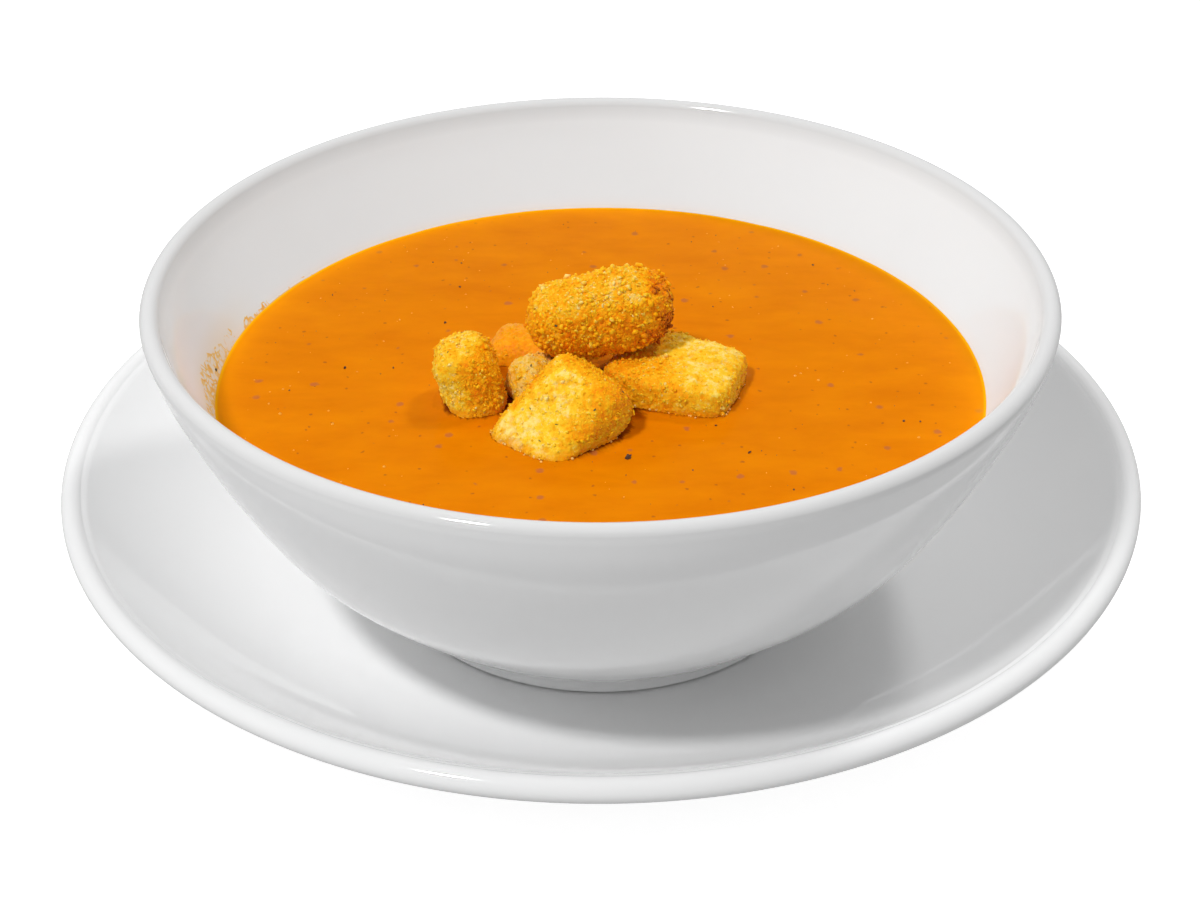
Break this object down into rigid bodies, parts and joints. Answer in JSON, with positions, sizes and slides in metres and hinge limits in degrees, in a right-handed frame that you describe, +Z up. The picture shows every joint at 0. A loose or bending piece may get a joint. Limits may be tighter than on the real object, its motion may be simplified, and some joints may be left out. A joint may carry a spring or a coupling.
{
  "type": "tomato soup",
  "caption": "White china soup bowl on a matching coupe plate, filled with smooth orange tomato soup and a small heap of toasted croutons.",
  "frame": {"origin": "on the table, under the middle of the plate's foot ring", "axes": "+Z up; -Y towards the diner, the side on which the bowl stands nearer the plate's edge; +X to the diner's right"},
  "size_m": [0.209, 0.209, 0.0707],
  "materials": {
    "china": "gloss",
    "soup": "gloss",
    "toast": "matte"
  },
  "bodies": {
    "root": {"plate": "china", "bowl": "china", "soup": "soup", "crouton_top": "toast", "crouton_left": "toast", "crouton_front": "toast", "crouton_right": "toast", "crouton_middle": "toast", "crouton_back": "toast"}
  },
  "joints": []
}
